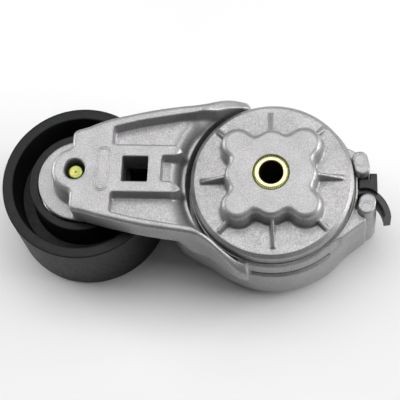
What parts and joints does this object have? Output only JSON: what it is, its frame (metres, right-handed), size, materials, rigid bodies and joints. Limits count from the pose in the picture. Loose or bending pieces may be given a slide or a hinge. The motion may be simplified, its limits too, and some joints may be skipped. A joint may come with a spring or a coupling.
{
  "type": "belt tensioner",
  "caption": "Spring-loaded belt tensioner: a lobed aluminium base on a pivot bore, and a cast arm with a spiral spring that carries a smooth black idler pulley on a sealed bearing.",
  "frame": {"origin": "centre of the pivot bore at the mounting face", "axes": "+Z along the pivot bore and out of the mounting face, -X from the pivot towards the idler pulley at rest"},
  "size_m": [0.1959, 0.091, 0.0629],
  "materials": {
    "cast_aluminium": "as-cast, fine shot-blasted grain",
    "yellow_zinc_steel": "yellow zinc plated",
    "bare_steel": "turned",
    "black_steel": "black oxide, oiled",
    "black_nylon": "moulded",
    "bronze_bushing": "sintered",
    "white_nylon": "moulded",
    "bearing_steel": "ground",
    "brown_nylon": "moulded",
    "seal_rubber": "moulded",
    "black_pulley": "satin black"
  },
  "bodies": {
    "base": {"base_cap": "cast_aluminium", "base_hub": "cast_aluminium", "pivot_sleeve": "yellow_zinc_steel", "front_plate": "bare_steel", "retaining_ring": "black_steel"},
    "arm": {"arm_casting": "cast_aluminium", "spiral_spring": "black_steel", "damper_band": "black_nylon", "window_block": "black_nylon", "pivot_bushing": "bronze_bushing", "rear_thrust_washer": "white_nylon", "front_thrust_washer": "white_nylon", "pulley_bolt": "yellow_zinc_steel", "bearing_spacer": "bare_steel", "front_dust_shield": "bare_steel", "bearing_inner_ring": "bearing_steel"},
    "pulley": {"pulley": "black_pulley", "bearing_outer_ring": "bearing_steel", "bearing_seal_rear": "seal_rubber", "bearing_seal_front": "seal_rubber", "bearing_snap_ring": "black_steel"},
    "ball_set": {"bearing_balls": "bearing_steel", "bearing_cage": "brown_nylon"}
  },
  "joints": [
    {"name": "arm_pivot", "type": "hinge", "parent": "base", "child": "arm", "pos_m": [0, 0, -0.0485], "axis": [0, 0, 1], "range_deg": [0, 35], "stiffness_Nm_per_rad": 18, "springref_deg": -51.57, "deforming": ["spiral_spring"]},
    {"name": "pulley_spin", "type": "hinge", "parent": "arm", "child": "pulley", "pos_m": [-0.0968, 0, -0.037], "axis": [0, 0, 1], "continuous": true},
    {"name": "ball_set_spin", "type": "hinge", "parent": "arm", "child": "ball_set", "pos_m": [-0.0968, 0, -0.037], "axis": [0, 0, 1], "continuous": true}
  ],
  "couplings": [
    {"joint": "ball_set_spin", "follows": "pulley_spin", "ratio": 0.6185}
  ]
}
